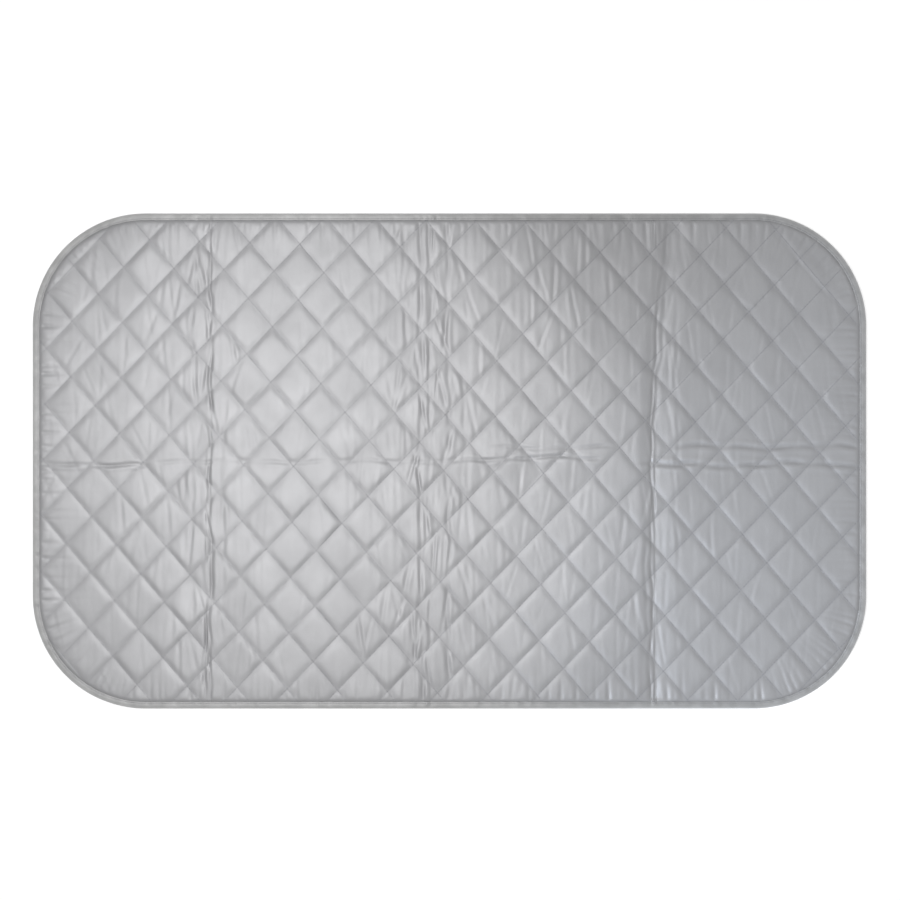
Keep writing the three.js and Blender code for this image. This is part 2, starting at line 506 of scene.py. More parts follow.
def part_at_folds(bm: BMesh) -> None:
    """Part a sheet's faces along the fold lines, closely enough for a round bend there."""
    margin = 4 * MM
    for fold in FOLDS.values():
        lines = fold.lines()
        low, high = lines[0] - margin, lines[-1] + margin
        near = [face for face in bm.faces if low < face.calc_center_median().x < high]
        points = dict.fromkeys(vert for face in near for vert in face.verts)
        sides = dict.fromkeys(edge for face in near for edge in face.edges)
        region = [*points, *sides, *near]
        for x in lines:
            parted = bmesh.ops.bisect_plane(
                bm, geom=region, dist=0.05 * MM, plane_co=(x, 0.0, 0.0), plane_no=(1.0, 0.0, 0.0)
            )
            region = parted["geom"]


def stretch_limits() -> tuple[float, float]:
    """The x at which the left stretch ends and the right one starts, midway between creases."""
    left, middle, right = (fold.place() for fold in FOLDS.values())
    return (left + middle) / 2, (middle + right) / 2


def settle(piece: Object, stretch: Stretch, nodes: Sequence[str] = ()) -> None:
    """Hide the CAD nodes that a piece stands for, and bake its transform into its mesh.

    Args:
        piece: The piece.
        stretch: The stretch that it bends with.
        nodes: The CAD nodes that it stands for.
    """
    if nodes:
        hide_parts(*nodes)
    FOLDS[stretch].bend(piece)


@dataclass(frozen=True)
class Outline:
    """The pad's round-cornered outline."""

    half_length: float
    half_width: float
    corner_radius: float = CORNER_RADIUS

    def core(self) -> tuple[float, float]:
        """Half the length and width between the corners' centres."""
        return self.half_length - self.corner_radius, self.half_width - self.corner_radius

    def depth(self, x: np.ndarray, y: np.ndarray) -> np.ndarray:
        """Measure how far points lie inside the edge.

        Args:
            x: The points' x.
            y: The points' y.

        Returns:
            Distances from the edge, negative outside it.
        """
        core_x, core_y = self.core()
        over_x, over_y = np.abs(x) - core_x, np.abs(y) - core_y
        outside = np.hypot(np.maximum(over_x, 0), np.maximum(over_y, 0))
        inside = np.minimum(np.maximum(over_x, over_y), 0)
        return self.corner_radius - outside - inside

    def along(self, x: np.ndarray, y: np.ndarray) -> np.ndarray:
        """Give a turning coordinate that runs on along the edge, as an angle of the corner arc."""
        core_x, core_y = self.core()
        near_x, near_y = np.clip(x, -core_x, core_x), np.clip(y, -core_y, core_y)
        return (near_x + near_y) / self.corner_radius + np.arctan2(y - near_y, x - near_x)

    def legs(self) -> np.ndarray:
        """Distances round the edge at which its straights and corners start, from the front left."""
        core_x, core_y = self.core()
        quarter = math.pi / 2 * self.corner_radius
        lengths = [2 * core_x, quarter, 2 * core_y, quarter] * 2
        return np.concatenate([[0.0], np.cumsum(lengths)])

    def walk(self, distance: np.ndarray) -> tuple[np.ndarray, np.ndarray]:
        """Walk round the edge, along the front first and then up the right end.

        Args:
            distance: How far to walk from the left end of the straight front edge.

        Returns:
            Points on the edge, and the outward directions there, as rows of x and y.
        """
        core_x, core_y = self.core()
        legs = self.legs()
        way = np.mod(distance, legs[-1])
        centre_x = np.interp(way, legs, core_x * np.array([-1, 1, 1, 1, 1, -1, -1, -1, -1]))
        centre_y = np.interp(way, legs, core_y * np.array([-1, -1, -1, 1, 1, 1, 1, -1, -1]))
        heading = np.interp(way, legs, math.pi / 2 * np.array([0, 0, 1, 1, 2, 2, 3, 3, 4]))
        outward = np.stack([np.sin(heading), -np.cos(heading)], axis=1)
        return np.stack([centre_x, centre_y], axis=1) + self.corner_radius * outward, outward

    def run_limits(self) -> dict[Run, tuple[float, float]]:
        """Where each run of tape starts and ends, as distances round the edge."""
        left, right = stretch_limits()
        core_x = self.core()[0]
        legs = self.legs()
        front = (left + core_x, right + core_x)
        back = (legs[4] + core_x - right, legs[4] + core_x - left)
        return {
            Run.FRONT: front,
            Run.RIGHT: (front[1], back[0]),
            Run.BACK: back,
            Run.LEFT: (back[1], legs[-1] + front[0]),
        }


@dataclass(frozen=True)
class Quilting:
    """Two families of stitched lines that part the pad into diamonds.

    Attributes:
        pitch: Distance between the lines of one family.
        half_angle: Half the angle between the families, in degrees.
        turn: How far the diamonds are turned on the pad, in degrees.
        crossing: A place where two lines cross.
        reach: How many diamonds are laid out to each side of that crossing.
    """

    pitch: float = 37.9 * MM
    half_angle: float = 48.0
    turn: float = -1.6
    crossing: tuple[float, float] = (-6.0 * MM, -9.8 * MM)
    reach: int = 14

    def sides(self) -> np.ndarray:
        """The diamond's falling and rising sides, as columns."""
        side = self.pitch / math.sin(math.radians(2 * self.half_angle))
        falling, rising = (math.radians(self.turn + sign * self.half_angle) for sign in (-1, 1))
        return side * np.array([[math.cos(falling), math.cos(rising)], [math.sin(falling), math.sin(rising)]])

    def plan(self, lattice: np.ndarray) -> np.ndarray:
        """Turn rows of lattice coordinates into rows of x and y."""
        return lattice @ self.sides().T + np.array(self.crossing)

    def lattice(self, plan: np.ndarray) -> np.ndarray:
        """Turn rows of x and y into rows of lattice coordinates, whole on the stitched lines."""
        return (plan - np.array(self.crossing)) @ np.linalg.inv(self.sides()).T

    def off_lines(self, plan: np.ndarray) -> np.ndarray:
        """Give each point's distance from the nearest line of both families, as a share of the side."""
        lattice = self.lattice(plan)
        return np.abs(lattice - np.round(lattice))

    def spread(self, cells: int, outline: Outline, inset: float) -> BMesh:
        """Lay out a flat sheet whose threads run along the stitched lines.

        Args:
            cells: How many cells go along a diamond's side.
            outline: The pad's outline.
            inset: How far inside the outline the sheet ends.

        Returns:
            The sheet, at z = 0.
        """
        sides = self.sides()
        layout = Matrix.Identity(4)
        for row in (0, 1):
            layout[row][0], layout[row][1] = sides[row]
            layout[row][3] = self.crossing[row]
        bm = bmesh.new()
        steps = 2 * self.reach * cells
        bmesh.ops.create_grid(bm, x_segments=steps, y_segments=steps, size=self.reach)
        bmesh.ops.transform(bm, matrix=layout, verts=bm.verts[:])
        plan = np.array([vert.co[:2] for vert in bm.verts])
        outside = outline.depth(*plan.T) < inset
        bmesh.ops.delete(bm, geom=[v for v, out in zip(bm.verts[:], outside) if out], context="VERTS")
        return bm

    def stretches(self, mesh: Mesh) -> np.ndarray:
        """Sort a flat sheet's faces by stretch, whole diamonds at a time, so that cuts follow stitching.

        Args:
            mesh: A flat sheet from spread.

        Returns:
            For each face 0, 1 or 2, from the left.
        """
        centres = np.empty(3 * len(mesh.polygons), np.float32)
        mesh.polygons.foreach_get("center", centres)
        diamonds = np.floor(self.lattice(centres.reshape(-1, 3)[:, :2].astype(float))) + 0.5
        return np.searchsorted(stretch_limits(), self.plan(diamonds)[:, 0])

    def hump(self, plan: np.ndarray) -> np.ndarray:
        """Rise from 0 on the stitched lines to 1 at the middle of each diamond."""
        return np.prod(np.sin(math.pi * np.mod(self.lattice(plan), 1)), axis=1)


@dataclass(frozen=True)
class CreaseMark:
    """A line that folding has pressed into the face, in millimetres.

    Attributes:
        place: Where the line lies: its x, or its y if it runs lengthwise.
        depth: How deep it is pressed.
        width: Half the groove's width.
        span: Where it starts and ends along its own length.
        lengthwise: Whether it runs along X.
        lean: How far its far end leans over.
        leaning: Where along its length it starts to lean, and where it has leant over.
        fade: How far to each side of an end it fades out.
    """

    place: float
    depth: float
    width: float
    span: tuple[float, float] = (-1000, 1000)
    lengthwise: bool = False
    lean: float = 0
    leaning: tuple[float, float] = (50, 250)
    fade: float = 15

    def off(self, plan: np.ndarray) -> np.ndarray:
        """Measure how far points lie beside the line.

        Args:
            plan: Rows of x and y, in metres.

        Returns:
            Distances across the line, in metres.
        """
        across, along = plan[:, ::-1].T if self.lengthwise else plan.T
        start, end = self.leaning
        return across - self.place * MM - self.lean * MM * smooth_step(start * MM, end * MM, along)

    def pressed(self, plan: np.ndarray, shift: np.ndarray, puff: np.ndarray) -> np.ndarray:
        """Work out how far the crease presses the face down.

        Args:
            plan: Rows of x and y, in metres.
            shift: A sideways step of the line, one for each point, that changes at the stitching.
            puff: The share of the full loft at each point.

        Returns:
            Depths to take off the face, in metres.
        """
        along = plan[:, 0 if self.lengthwise else 1]
        # The line sways and its depth changes along waves of 37 to 128 mm, other ones at each crease.
        sway = 1.2 * MM * np.sin(49 * along + 0.9 * self.place) + 0.7 * MM * np.sin(131 * along)
        ripple = 0.7 + 0.2 * np.sin(170 * along + 0.5 * self.place)
        ripple += 0.2 * np.sin(67 * along + 0.3 * self.place)
        start, end = (smooth_step((x - self.fade) * MM, (x + self.fade) * MM, along) for x in self.span)
        off = (self.off(plan) - sway - shift) / (self.width * MM)
        # A groove with a low shoulder of pushed-up cloth on each side
        groove = bell(off) - 0.3 * bell(np.abs(off) - 2.2)
        return self.depth * MM * (start - end) * ripple * (0.5 + 0.5 * puff) * groove


RIGHT_CREASE = CreaseMark(205.5, 0.75, 1.5, lean=15)
CREASE_MARKS = (
    RIGHT_CREASE,
    CreaseMark(207.5, 0.9, 1.4, (-60, 60)),
    CreaseMark(211.5, 0.6, 1.4, (50, 170), lean=15),
    CreaseMark(199.5, 0.6, 1.4, (-190, -70)),
    CreaseMark(-243.5, 0.85, 1.7),
    CreaseMark(-257, 1.2, 1.5, (165, 222)),
    CreaseMark(-260.5, 0.8, 1.5, (52, 155)),
    CreaseMark(-248, 1.1, 1.4, (-240, -160)),
    CreaseMark(-262, 0.5, 1.7, (-110, 40)),
    CreaseMark(-231, 0.4, 1.7, (-190, 60)),
    CreaseMark(-29.5, 0.5, 1.9),
    CreaseMark(-20, 0.25, 1.5),
    CreaseMark(-1.5, 0.85, 1.8),
    CreaseMark(-46, 0.6, 1.6, (120, 240)),
    CreaseMark(-40, 0.5, 1.5, (-230, -150)),
    CreaseMark(14, 0.45, 1.6, (-60, 90)),
    CreaseMark(231, 0.4, 1.7, (-120, 200)),
    CreaseMark(-4, 1.2, 1.6, (-420, -310), lengthwise=True),
    CreaseMark(0, 0.5, 1.7, (-310, 20), lengthwise=True),
    CreaseMark(3, 1.2, 1.6, (20, 155), lengthwise=True),
    CreaseMark(14, 0.7, 1.6, (50, 170), lengthwise=True),
    CreaseMark(15, 1.4, 2.2, (235, 420), lengthwise=True),
    CreaseMark(-3, 1.6, 2.2, (200, 420), lengthwise=True),
)


@dataclass
class BackingCloth:
    """The cotton underside, drawn up at the stitching and flat where it rests on the table.

    Attributes:
        outline: The pad's outline.
        quilting: The stitched lines.
        cells: Cells along a diamond's side.
        thickness: Of the cloth.
        dimple: How far the stitching draws the cloth up, which also clears the tape at the edge.
        flatness: How much of each diamond lies flat on the table.
    """

    outline: Outline
    quilting: Quilting
    cells: int = 14
    thickness: float = 0.5 * MM
    dimple: float = 0.8 * MM
    flatness: float = 2.6

    def underside(self, x: np.ndarray, y: np.ndarray) -> np.ndarray:
        """Give the height of the underside over the table."""
        plan = np.stack([x, y], axis=1)
        rested = np.tanh(self.flatness * self.quilting.hump(plan)) / math.tanh(self.flatness)
        inward = self.outline.depth(x, y) - TAPE_REACH
        return self.dimple * np.maximum(1 - rested, 1 - smooth_step(1 * MM, 5 * MM, inward))

    def upside(self, x: np.ndarray, y: np.ndarray) -> np.ndarray:
        """Give the height of the cloth's upper side."""
        return self.underside(x, y) + self.thickness

    def build(self, material: Material) -> list[Object]:
        """Model the backing, one piece for each stretch.

        Args:
            material: The backing's finish.

        Returns:
            The pieces, standing for their nodes.
        """
        flat = self.quilting.spread(self.cells, self.outline, LAYER_INSET)
        part_at_folds(flat)
        sheet = mesh_from("backing_cloth_flat", flat)
        of_stretch = self.quilting.stretches(sheet)
        made = []
        for number, stretch in enumerate(Stretch):
            bm = part_of(sheet, of_stretch == number)
            area = sum(face.calc_area() for face in bm.faces)
            plan = np.array([vert.co[:2] for vert in bm.verts])
            for vert, height in zip(bm.verts, self.underside(*plan.T)):
                vert.co.z = height
            close_sheet(bm, self.upside)
            mesh = mesh_from(f"backing_cloth_{stretch.label}", bm)
            map_cloth(mesh, points_of(mesh)[:, :2])
            piece = new_piece(mesh.name, mesh, material)
            settle(piece, stretch, stretch.nodes("backing_cloth"))
            made.append(piece)
        bpy.data.meshes.remove(sheet)
        return made


CLOTH_SOLVER = {
    "quality": 4, "mass": 0.3, "tension_stiffness": 15, "compression_stiffness": 15, "shear_stiffness": 5,
    "bending_stiffness": 1.0, "air_damping": 4, "use_pressure": True,
}


@dataclass
class QuiltedFace:
    """The silver face cloth on its wadding, swollen between the stitched lines.

    Attributes:
        outline: The pad's outline.
        quilting: The stitched lines.
        backing: The backing that it lies on.
        cells: Cells along a diamond's side.
        rim_height: Height of the face under the tape.
        channel_height: Height of the stitched lines.
        loft: How far the wadding can lift the cloth.
        fullness: How steeply the cloth climbs to that loft.
        highest: The height that no pucker passes, so that folded faces stay clear of each other.
        lowest: How far down a crease can press the face, which keeps it clear of the backing.
        clearance: Between the wadding and the backing.
        seed: Of the cloth's irregular puckers.
        frames: How long the simulation runs.
        blown_up: How many times its size the cloth is simulated at.
        pressure: That swells the cloth.
        slack: How much larger than the pad the cloth is cut, along X and along Y.
        spare: Cloth to spare on each side of the three creases.
        creased: How far the puckers reach beside the three creases, and their strengths there.
    """

    outline: Outline
    quilting: Quilting
    backing: BackingCloth
    cells: int = 24
    rim_height: float = 2.3 * MM
    channel_height: float = 3.7 * MM
    loft: float = 1.0 * MM
    fullness: float = 1.6
    highest: float = 5.15 * MM
    lowest: float = 1.9 * MM
    clearance: float = 0.05 * MM
    seed: int = 11
    frames: int = 16
    blown_up: float = 10.0
    pressure: float = 6.0
    slack: tuple[float, float] = (1.016, 1.007)
    spare: tuple[float, ...] = (1.0 * MM, 2.2 * MM, 1.0 * MM)
    creased: tuple[tuple[float, float], ...] = ((34 * MM, 0.75), (52 * MM, 1.0), (30 * MM, 0.4))

    def swollen(self, sheet: Mesh) -> np.ndarray:
        """Blow the cloth up between its stitched lines by cloth simulation.

        The cloth is cut a little larger than the pad, and more so across the creases, so that it
        puckers. It is simulated at ten times its size, where the solver is steadier.

        Args:
            sheet: The flat sheet.

        Returns:
            How far each point rises.
        """
        flat = points_of(sheet)
        plan = flat[:, :2]
        on_line = self.quilting.off_lines(plan) * self.cells < 0.25
        held = on_line.any(axis=1) | (self.outline.depth(*plan.T) < TAPE_REACH + 0.5 * MM)
        start = flat.copy()
        start[:, 2] = np.where(held, 0, 1.2 * MM * self.quilting.hump(plan))
        cut = flat * np.array([*self.slack, 1.0])
        for fold, spare in zip(FOLDS.values(), self.spare):
            cut[:, 0] += spare * np.tanh((plan[:, 0] - fold.place()) / (16 * MM))
        cloth = bpy.data.objects.new("face_cloth_trial", sheet.copy())
        bpy.context.scene.collection.objects.link(cloth)
        place_points(cloth.data, start * self.blown_up)
        pins = cloth.vertex_groups.new(name="stitched")
        pins.add(np.flatnonzero(held).tolist(), 1.0, "REPLACE")
        cloth.shape_key_add(name="Basis")
        cut_shape = cloth.shape_key_add(name="cut")
        cut_shape.data.foreach_set("co", (cut * self.blown_up).astype(np.float32).ravel())
        cut_shape.value = 0.0
        solver = cloth.modifiers.new("swell", "CLOTH")
        for setting, value in CLOTH_SOLVER.items():
            setattr(solver.settings, setting, value)
        solver.settings.vertex_group_mass = pins.name
        solver.settings.rest_shape_key = cut_shape
        solver.settings.uniform_pressure_force = self.pressure
        solver.settings.effector_weights.gravity = 0
        solver.collision_settings.use_collision = False
        solver.point_cache.frame_start = 1
        solver.point_cache.frame_end = self.frames
        for number in range(1, self.frames + 1):
            bpy.context.scene.frame_set(number)
        result = cloth.evaluated_get(bpy.context.evaluated_depsgraph_get())
        rise = points_of(result.data)[:, 2] / self.blown_up
        bpy.context.scene.frame_set(1)
        trial = cloth.data
        bpy.data.objects.remove(cloth)
        bpy.data.meshes.remove(trial)
        return np.where(held, 0, rise)

    def lofted(self, rise: np.ndarray) -> np.ndarray:
        """Hold a swollen cloth down to the wadding's loft, which flattens the diamonds' tops."""
        return self.loft * np.tanh(self.fullness * np.maximum(rise, 0) / self.loft)

    def puckers(self, plan: np.ndarray, puff: np.ndarray) -> tuple[np.ndarray, np.ndarray]:
        """Draw the short cross puckers inside the diamonds, which are deepest beside the creases.

        Args:
            plan: Rows of x and y.
            puff: The share of the full loft at each point.

        Returns:
            Depths to take off the face, and the sideways step of the crease lines in each diamond.
        """
        draw = np.random.default_rng(self.seed)
        count = 2 * self.quilting.reach + 2
        cell = np.floor(self.quilting.lattice(plan)).astype(int) + self.quilting.reach + 1
        index = cell[:, 0] * count + cell[:, 1]
        middle = self.quilting.plan(cell - self.quilting.reach - 1 + 0.5)
        step = draw.uniform(-1.2 * MM, 1.2 * MM, count * count)[index]
        beside = np.zeros(len(plan))
        for fold, (reach, share) in zip(FOLDS.values(), self.creased):
            beside = np.maximum(beside, share * bell((middle[:, 0] - fold.place()) / reach))
        # The far edge of the third section is drawn together too
        drawn_top = smooth_step(60 * MM, 200 * MM, middle[:, 1]) * bell((middle[:, 0] - 110 * MM) / (70 * MM))
        depth = np.zeros(len(plan))
        for _ in range(4):
            place = draw.uniform(-15 * MM, 15 * MM, count * count)[index]
            lean = draw.normal(0, 0.18, count * count)[index]
            width = draw.uniform(1.2 * MM, 2.6 * MM, count * count)[index]
            strength = draw.uniform(0, 1, count * count)[index] ** 2
            deep = (0.2 + 0.6 * np.maximum(beside, 0.8 * drawn_top)) * MM * strength
            off = (plan[:, 0] - middle[:, 0] - place - lean * (plan[:, 1] - middle[:, 1])) / width
            depth += deep * puff * (bell(off) - 0.5 * bell(off - 1.7))
        tilt = draw.normal(0, 0.013, (2, count * count))[:, index]
        depth += puff * (tilt * (plan - middle).T).sum(axis=0)
        ripples = np.zeros(len(plan))
        for length in (8 * MM, 12 * MM, 19 * MM):
            sway = 0.9 * np.sin(plan[:, 1] / (45 * MM) + draw.uniform(0, 2 * math.pi))
            ripples += np.sin(2 * math.pi * plan[:, 0] / length + draw.uniform(0, 2 * math.pi) + sway)
        depth += 0.1 * MM * ripples * puff * (0.15 + 0.85 * np.maximum(beside, drawn_top))
        return depth, step

    def slack_stitching(self, plan: np.ndarray) -> np.ndarray:
        """Fill the rising lines at the far right, where the stitching holds the face only loosely.

        Args:
            plan: Rows of x and y.

        Returns:
            Heights to add to the loft.
        """
        rising, falling = self.quilting.off_lines(plan).T * self.quilting.pitch
        where = smooth_step(10 * MM, 90 * MM, plan[:, 1]) * smooth_step(90 * MM, 190 * MM, plan[:, 0])
        filled = bell(rising / (4.5 * MM)) * smooth_step(2 * MM, 9 * MM, falling)
        return 0.55 * self.loft * where * filled

    def bunched_corner(self, plan: np.ndarray) -> np.ndarray:
        """Raise the cloth that the tape bunches up outside the last row of diamonds, far right.

        Args:
            plan: Rows of x and y.

        Returns:
            Heights to add to the face.
        """
        along, outward = (self.quilting.lattice(plan) - np.array([3.4, 10.9])).T
        ridge = smooth_step(0, 0.1, outward) - smooth_step(0.12, 0.45, outward)
        return 1.0 * MM * ridge * bell(along / 1.1)

    def right_valley(self, plan: np.ndarray) -> np.ndarray:
        """Sink the face on both sides of the right crease, further on its right.

        Args:
            plan: Rows of x and y.

        Returns:
            Depths to take off the face.
        """
        off = RIGHT_CREASE.off(plan) - 4 * MM
        reach = np.where(off < 0, 16 * MM, 22 * MM)
        return 2.1 * MM * np.clip(1 - np.abs(off) / reach, 0, 1) ** 1.3

    def edge_gathers(self, plan: np.ndarray, inward: np.ndarray) -> np.ndarray:
        """Gather the face unevenly along the tape.

        Args:
            plan: Rows of x and y.
            inward: How far each point lies inside the tape.

        Returns:
            Depths to take off the face.
        """
        draw = np.random.default_rng(self.seed + 1)
        gathers = np.zeros(len(plan))
        way = self.outline.along(*plan.T)
        for waves in (46, 59, 73, 88, 107):
            gathers += np.sin(waves * way + draw.uniform(0, 2 * math.pi)) / 2.2
        near_edge = np.exp(-np.maximum(inward - 5 * MM, 0) / (13 * MM))
        return 1.1 * MM * np.tanh(np.maximum(gathers, 0) ** 1.5) * near_edge

    def relief(self, plan: np.ndarray, loft: np.ndarray) -> tuple[np.ndarray, np.ndarray]:
        """Shape the face: lofted diamonds, creases, puckers and the drawn-in edge.

        Args:
            plan: Rows of x and y.
            loft: The lofted rise of each point.

        Returns:
            The heights of the face, and how little painted shade each point gets from the stitching and the
            folding.
        """
        loft = loft + self.slack_stitching(plan)
        puff = np.clip(loft / self.loft, 0, 1)
        inward = self.outline.depth(*plan.T) - TAPE_REACH
        edge_rise = (self.channel_height - self.rim_height) * smooth_step(-0.5 * MM, 1.5 * MM, inward)
        height = self.rim_height + edge_rise + loft + self.bunched_corner(plan)
        depth, step = self.puckers(plan, puff)
        folded = sum(mark.pressed(plan, step, puff) for mark in CREASE_MARKS)
        depth += folded + self.right_valley(plan) + self.edge_gathers(plan, inward) * puff
        visible = smooth_step(0, 4 * MM, inward)
        # Painted shade: the share left unshaded is smaller on the stitched lines and where creases press the
        # face
        unshaded_share = puff * (1 - np.clip(folded / (0.9 * MM), 0, 1))
        shaped = height - visible * np.minimum(depth, height - self.lowest)
        room = 0.4 * MM
        over = np.maximum(shaped - self.highest + room, 0)
        return shaped - over + room * np.tanh(over / room), unshaded_share

    def lower_side(self, x: np.ndarray, y: np.ndarray) -> np.ndarray:
        """Give the height of the wadding's lower side."""
        return self.backing.upside(x, y) + self.clearance

    def build(self, material: Material) -> BVHTree:
        """Model the quilted face, one piece for each stretch, standing for its nodes.

        Args:
            material: The face's finish.

        Returns:
            The whole face's upper surface.
        """
        sheet = mesh_from("quilted_face_flat", self.quilting.spread(self.cells, self.outline, LAYER_INSET))
        points = points_of(sheet)
        plan = points[:, :2]
        drawn = 1.65 * MM * self.quilting.hump(plan) ** 0.75
        rise = self.swollen(sheet)
        inward = self.outline.depth(*plan.T) - TAPE_REACH
        points[:, 2] = self.lofted(rise * smooth_step(-0.5 * MM, 5 * MM, inward))
        place_points(sheet, points)
        bm = bmesh_of(sheet)
        for _ in range(2):
            bmesh.ops.smooth_vert(bm, verts=bm.verts[:], factor=0.5, use_axis_z=True)
        part_at_folds(bm)
        bm.to_mesh(sheet)
        bm.free()
        of_stretch = self.quilting.stretches(sheet)
        points = points_of(sheet)
        points[:, 2], unshaded_share = self.relief(points[:, :2], points[:, 2])
        place_points(sheet, points)
        # This share sets the face's painted shade in the channels and creases
        puff = sheet.attributes.new(PUFF_SHARE, "FLOAT", "POINT")
        puff.data.foreach_set("value", unshaded_share.astype(np.float32))
        for number, stretch in enumerate(Stretch):
            bm = part_of(sheet, of_stretch == number)
            close_sheet(bm, self.lower_side)
            mesh = mesh_from(f"quilted_face_{stretch.label}", bm)
            map_cloth(mesh, points_of(mesh)[:, :2])
            piece = new_piece(mesh.name, mesh, material)
            settle(piece, stretch, stretch.nodes("face_cloth", "wadding"))
        surface = surface_of(sheet)
        bpy.data.meshes.remove(sheet)
        return surface


@dataclass
class BindingTape:
    """The tape folded over the edge all the way round.

    Attributes:
        outline: The pad's outline.
        spacing: Distance between the points modelled along the tape.
        steps_across: How many faces go across it.
        thickness: Of the tape.
        fold: The tape's outer side across its width, as distances from the edge and heights in mm.
        gather: How far the stitching gathers the tape.
        loose: How far in from the edge the tape gathers most, and how far to each side.
        seed: Of the gathers.
    """

    outline: Outline
    spacing: float = 2.2 * MM
    steps_across: int = 26
    thickness: float = 0.6 * MM
    fold: tuple[tuple[float, float], ...] = (
        (7.0, 3.1), (6.5, 3.3), (5.6, 3.25), (4.6, 3.4), (3.2, 3.5), (1.6, 3.45), (0.6, 3.15), (0.1, 2.5),
        (0.0, 1.7), (0.1, 0.95), (0.6, 0.35), (1.6, 0.05), (3.2, 0.0), (4.6, 0.15), (5.6, 0.4), (7.0, 0.15),
    )
    gather: float = 0.22 * MM
    loose: tuple[float, float] = (5.2 * MM, 2.6 * MM)
    seed: int = 23

    def section(self, share: np.ndarray) -> tuple[np.ndarray, np.ndarray]:
        """Follow the fold from the tape's upper inner edge to its lower one.

        Args:
            share: How far across the tape, from 0 to 1.

        Returns:
            Distances from the edge, and heights.
        """
        corners = np.array(self.fold) * MM
        reached = np.concatenate([[0.0], np.cumsum(np.hypot(*np.diff(corners, axis=0).T))])
        way = share * reached[-1]
        return np.interp(way, reached, corners[:, 0]), np.interp(way, reached, corners[:, 1])

    def flat_width(self) -> float:
        """The tape's width before it is folded."""
        return float(np.hypot(*np.diff(np.array(self.fold) * MM, axis=0).T).sum())

    def ways(self, start: float, end: float) -> np.ndarray:
        """Spread points along a run, close together where the tape bends round a crease.

        Args:
            start: Where the run starts, as a distance round the edge.
            end: Where it ends.

        Returns:
            Distances round the edge.
        """
        core_x = self.outline.core()[0]
        legs = self.outline.legs()
        spread = [np.linspace(start, end, round((end - start) / self.spacing) + 1)]
        for fold in FOLDS.values():
            front = fold.lines() + core_x
            back = legs[4] + core_x - fold.lines()
            spread += [front, back, front + legs[-1]]
        every = np.unique(np.round(np.concatenate(spread), 5))
        return every[(every >= spread[0][0] - 1e-5) & (every <= spread[0][-1] + 1e-5)]

    def gathers(self, way: np.ndarray) -> np.ndarray:
        """Draw the uneven gathers along the tape, the same after each walk round."""
        draw = np.random.default_rng(self.seed)
        around = 2 * math.pi * way / self.outline.legs()[-1]
        waves = draw.integers(150, 480, 9)
        return sum(np.sin(n * around + draw.uniform(0, 2 * math.pi)) for n in waves) / 3

    def folded_run(self, name: str, start: float, end: float) -> Mesh:
        """Model the tape's outer side along one run.

        Args:
            name: The mesh's name.
            start: Where the run starts, as a distance round the edge.
            end: Where it ends.

        Returns:
            The sheet, mapped as flat tape.
        """
        ways = self.ways(start, end)
        steps = len(ways) - 1
        bm = bmesh.new()
        bmesh.ops.create_grid(bm, x_segments=steps, y_segments=self.steps_across, size=0.5)
        mesh = mesh_from(name, bm)
        shares = points_of(mesh)[:, :2] + 0.5
        way = ways[np.rint(shares[:, 0] * steps).astype(int)]
        edge, outward = self.outline.walk(way)
        depth, height = self.section(shares[:, 1])
        middle, reach = self.loose
        loose = np.where(shares[:, 1] < 0.5, bell((depth - middle) / reach), 0)
        height = height + self.gather * self.gathers(way) * loose
        place_points(mesh, np.column_stack([edge - outward * depth[:, None], height]))
        map_cloth(mesh, np.column_stack([way, shares[:, 1] * self.flat_width()]))
        return mesh

    def build(self, material: Material) -> dict[Run, Object]:
        """Model the tape's runs.

        Args:
            material: The tape's finish.

        Returns:
            The runs, standing for their nodes.
        """
        made = {}
        for run, (start, end) in self.outline.run_limits().items():
            mesh = self.folded_run(f"binding_tape_{run.label}", start, end)
            bm = bmesh_of(mesh)
            bm.normal_update()
            _, top_facing = max((face.calc_center_median().z, face.normal.z) for face in bm.faces)
            if top_facing < 0:
                bmesh.ops.reverse_faces(bm, faces=bm.faces[:])
            bmesh.ops.solidify(bm, geom=bm.faces[:], thickness=self.thickness)
            shade_bends(bm)
            bm.to_mesh(mesh)
            bm.free()
            piece = new_piece(mesh.name, mesh, material)
            settle(piece, run.stretch, run.stretch.nodes(run.layer))
            made[run] = piece
        return made


